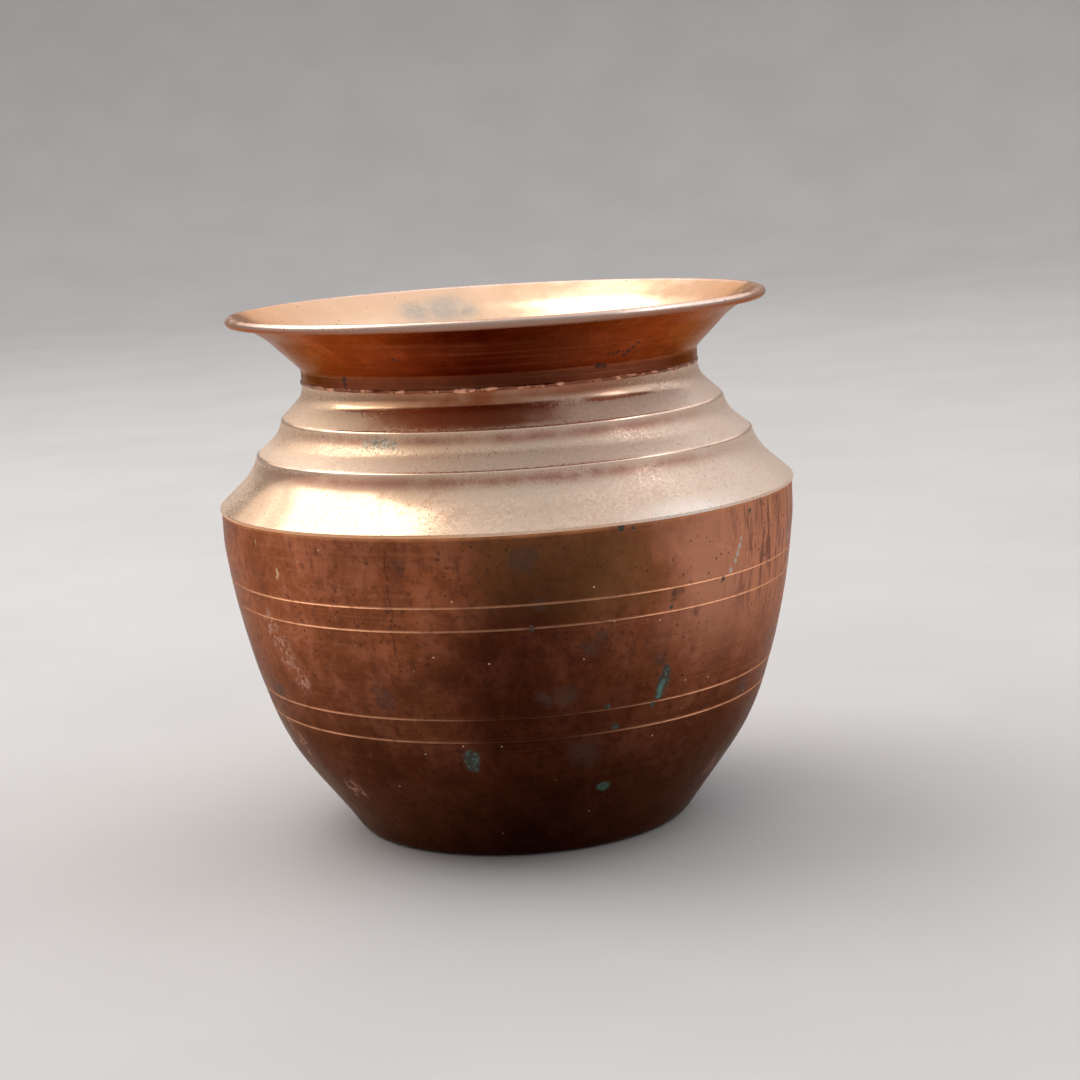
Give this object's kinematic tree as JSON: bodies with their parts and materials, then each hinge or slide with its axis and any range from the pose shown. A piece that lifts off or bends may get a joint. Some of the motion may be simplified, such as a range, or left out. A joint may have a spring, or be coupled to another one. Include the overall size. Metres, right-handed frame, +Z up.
{
  "type": "kalash pot",
  "caption": "Round-bellied water pot of thin spun copper sheet, with engraved lines, a stepped shoulder and a flared, wired mouth.",
  "frame": {"origin": "centre of the base ring, on the surface that the pot stands on", "axes": "+Z up along the pot's axis; X and Y are level and interchangeable, because the pot is a body of revolution"},
  "size_m": [0.125, 0.125, 0.1133],
  "materials": {
    "tarnished_copper": "spun copper, darkened brown by tarnish, semi-gloss, fine lathe lines and specks",
    "satin_copper": "spun copper, pale tan satin with fine lathe lines",
    "red_copper": "spun copper, red-orange semi-gloss, paler on the inside of the mouth",
    "wire": "drawn wire, dull",
    "braze": "yellowish brazing alloy, left rough"
  },
  "bodies": {
    "root": {"lower_bowl": "tarnished_copper", "shoulder_shell": "satin_copper", "neck_flare": "red_copper", "rim_wire": "wire", "girth_braze": "braze", "neck_braze": "braze"}
  },
  "joints": []
}
